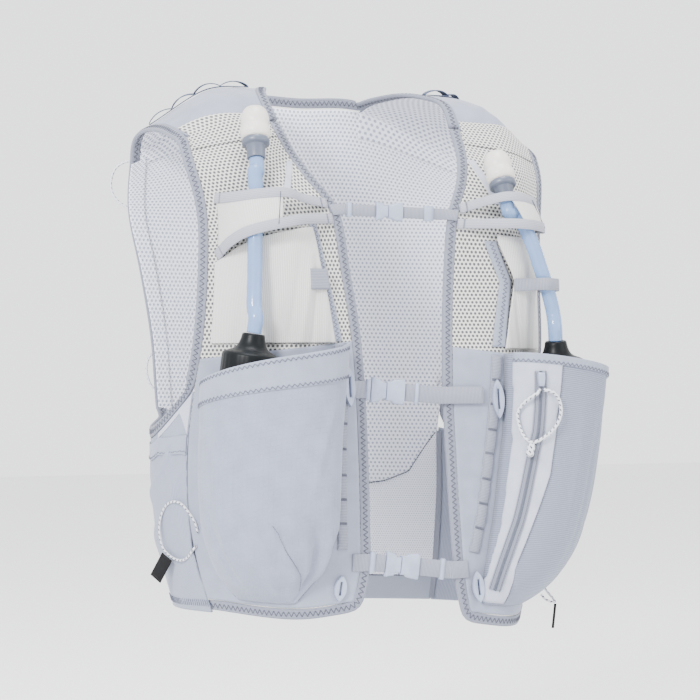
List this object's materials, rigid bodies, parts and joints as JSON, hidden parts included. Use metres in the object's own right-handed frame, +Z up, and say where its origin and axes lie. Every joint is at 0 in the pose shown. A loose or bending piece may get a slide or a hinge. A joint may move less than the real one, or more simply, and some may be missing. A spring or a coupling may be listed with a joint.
{
  "type": "running hydration vest",
  "caption": "Snug sleeveless running vest with soft flasks in stretch chest pockets, bite-valve drinking tubes, sternum straps with buckles and a low rear pouch.",
  "frame": {"origin": "middle plane at the level where the wearer's shoulders carry the vest, between its front and back", "axes": "+Z up, -Y towards the wearer's front, +X towards the wearer's left; millimetres in the source, metres in the row"},
  "size_m": [0.3813, 0.2937, 0.4875],
  "materials": {
    "mesh": "open hexagonal spacer mesh, lilac white, matt",
    "cloth": "thin ripstop and woven cloth, pale lilac grey, matt",
    "stretch": "gathered warm white stretch cloth, matt",
    "binding": "folded elastic edge binding with zigzag stitches, lilac grey",
    "webbing": "woven tape and webbing, grey",
    "buckle": "moulded plastic, pale lilac blue",
    "flask": "clear soft flask film",
    "cap": "moulded plastic, near black, satin",
    "tube": "clear flexible tube, faintly blue",
    "ring": "moulded plastic, grey",
    "valve": "cloudy soft rubber, warm white",
    "cord": "braided cord, white with dark flecks",
    "tab": "thin flat tab, black"
  },
  "bodies": {
    "root": {"back_panel": "mesh", "rear_pouch": "cloth", "neck_binding": "binding", "shoulder_yoke_right": "cloth", "front_panel_right": "mesh", "side_pocket_right": "cloth", "front_binding_right": "binding", "armhole_binding_right": "binding", "chest_pocket_right": "stretch", "flask_pocket_right": "cloth", "soft_flask_right": "flask", "flask_cap_right": "cap", "drinking_tube_right": "tube", "tube_connector_right": "ring", "bite_valve_right": "valve", "upper_tape_right": "webbing", "lower_tape_right": "webbing", "daisy_chain_right": "webbing", "strap_hook_upper_right": "buckle", "strap_hook_lower_right": "buckle", "shoulder_yoke_left": "cloth", "front_panel_left": "mesh", "side_pocket_left": "cloth", "front_binding_left": "binding", "armhole_binding_left": "binding", "chest_pocket_left": "stretch", "flask_pocket_left": "cloth", "soft_flask_left": "flask", "flask_cap_left": "cap", "drinking_tube_left": "tube", "tube_connector_left": "ring", "bite_valve_left": "valve", "upper_tape_left": "webbing", "lower_tape_left": "webbing", "daisy_chain_left": "webbing", "strap_hook_upper_left": "buckle", "strap_hook_lower_left": "buckle", "top_webbing_right": "webbing", "top_webbing_left": "webbing", "top_buckle_tongue": "buckle", "top_buckle_socket": "buckle", "middle_webbing_right": "webbing", "middle_webbing_left": "webbing", "middle_buckle_tongue": "buckle", "middle_buckle_socket": "buckle", "bottom_webbing_right": "webbing", "bottom_webbing_left": "webbing", "bottom_buckle_tongue": "buckle", "bottom_buckle_socket": "buckle", "zip_tape": "binding", "zip_slider": "buckle", "shoulder_cord_right": "cord", "back_cord_right": "cord", "back_cord_left": "cord", "draw_cord_right": "cord", "hem_cord_left": "cord", "zip_cord": "cord", "zip_knot": "cord", "draw_tab_right": "tab", "hem_tab_left": "tab"}
  },
  "joints": []
}
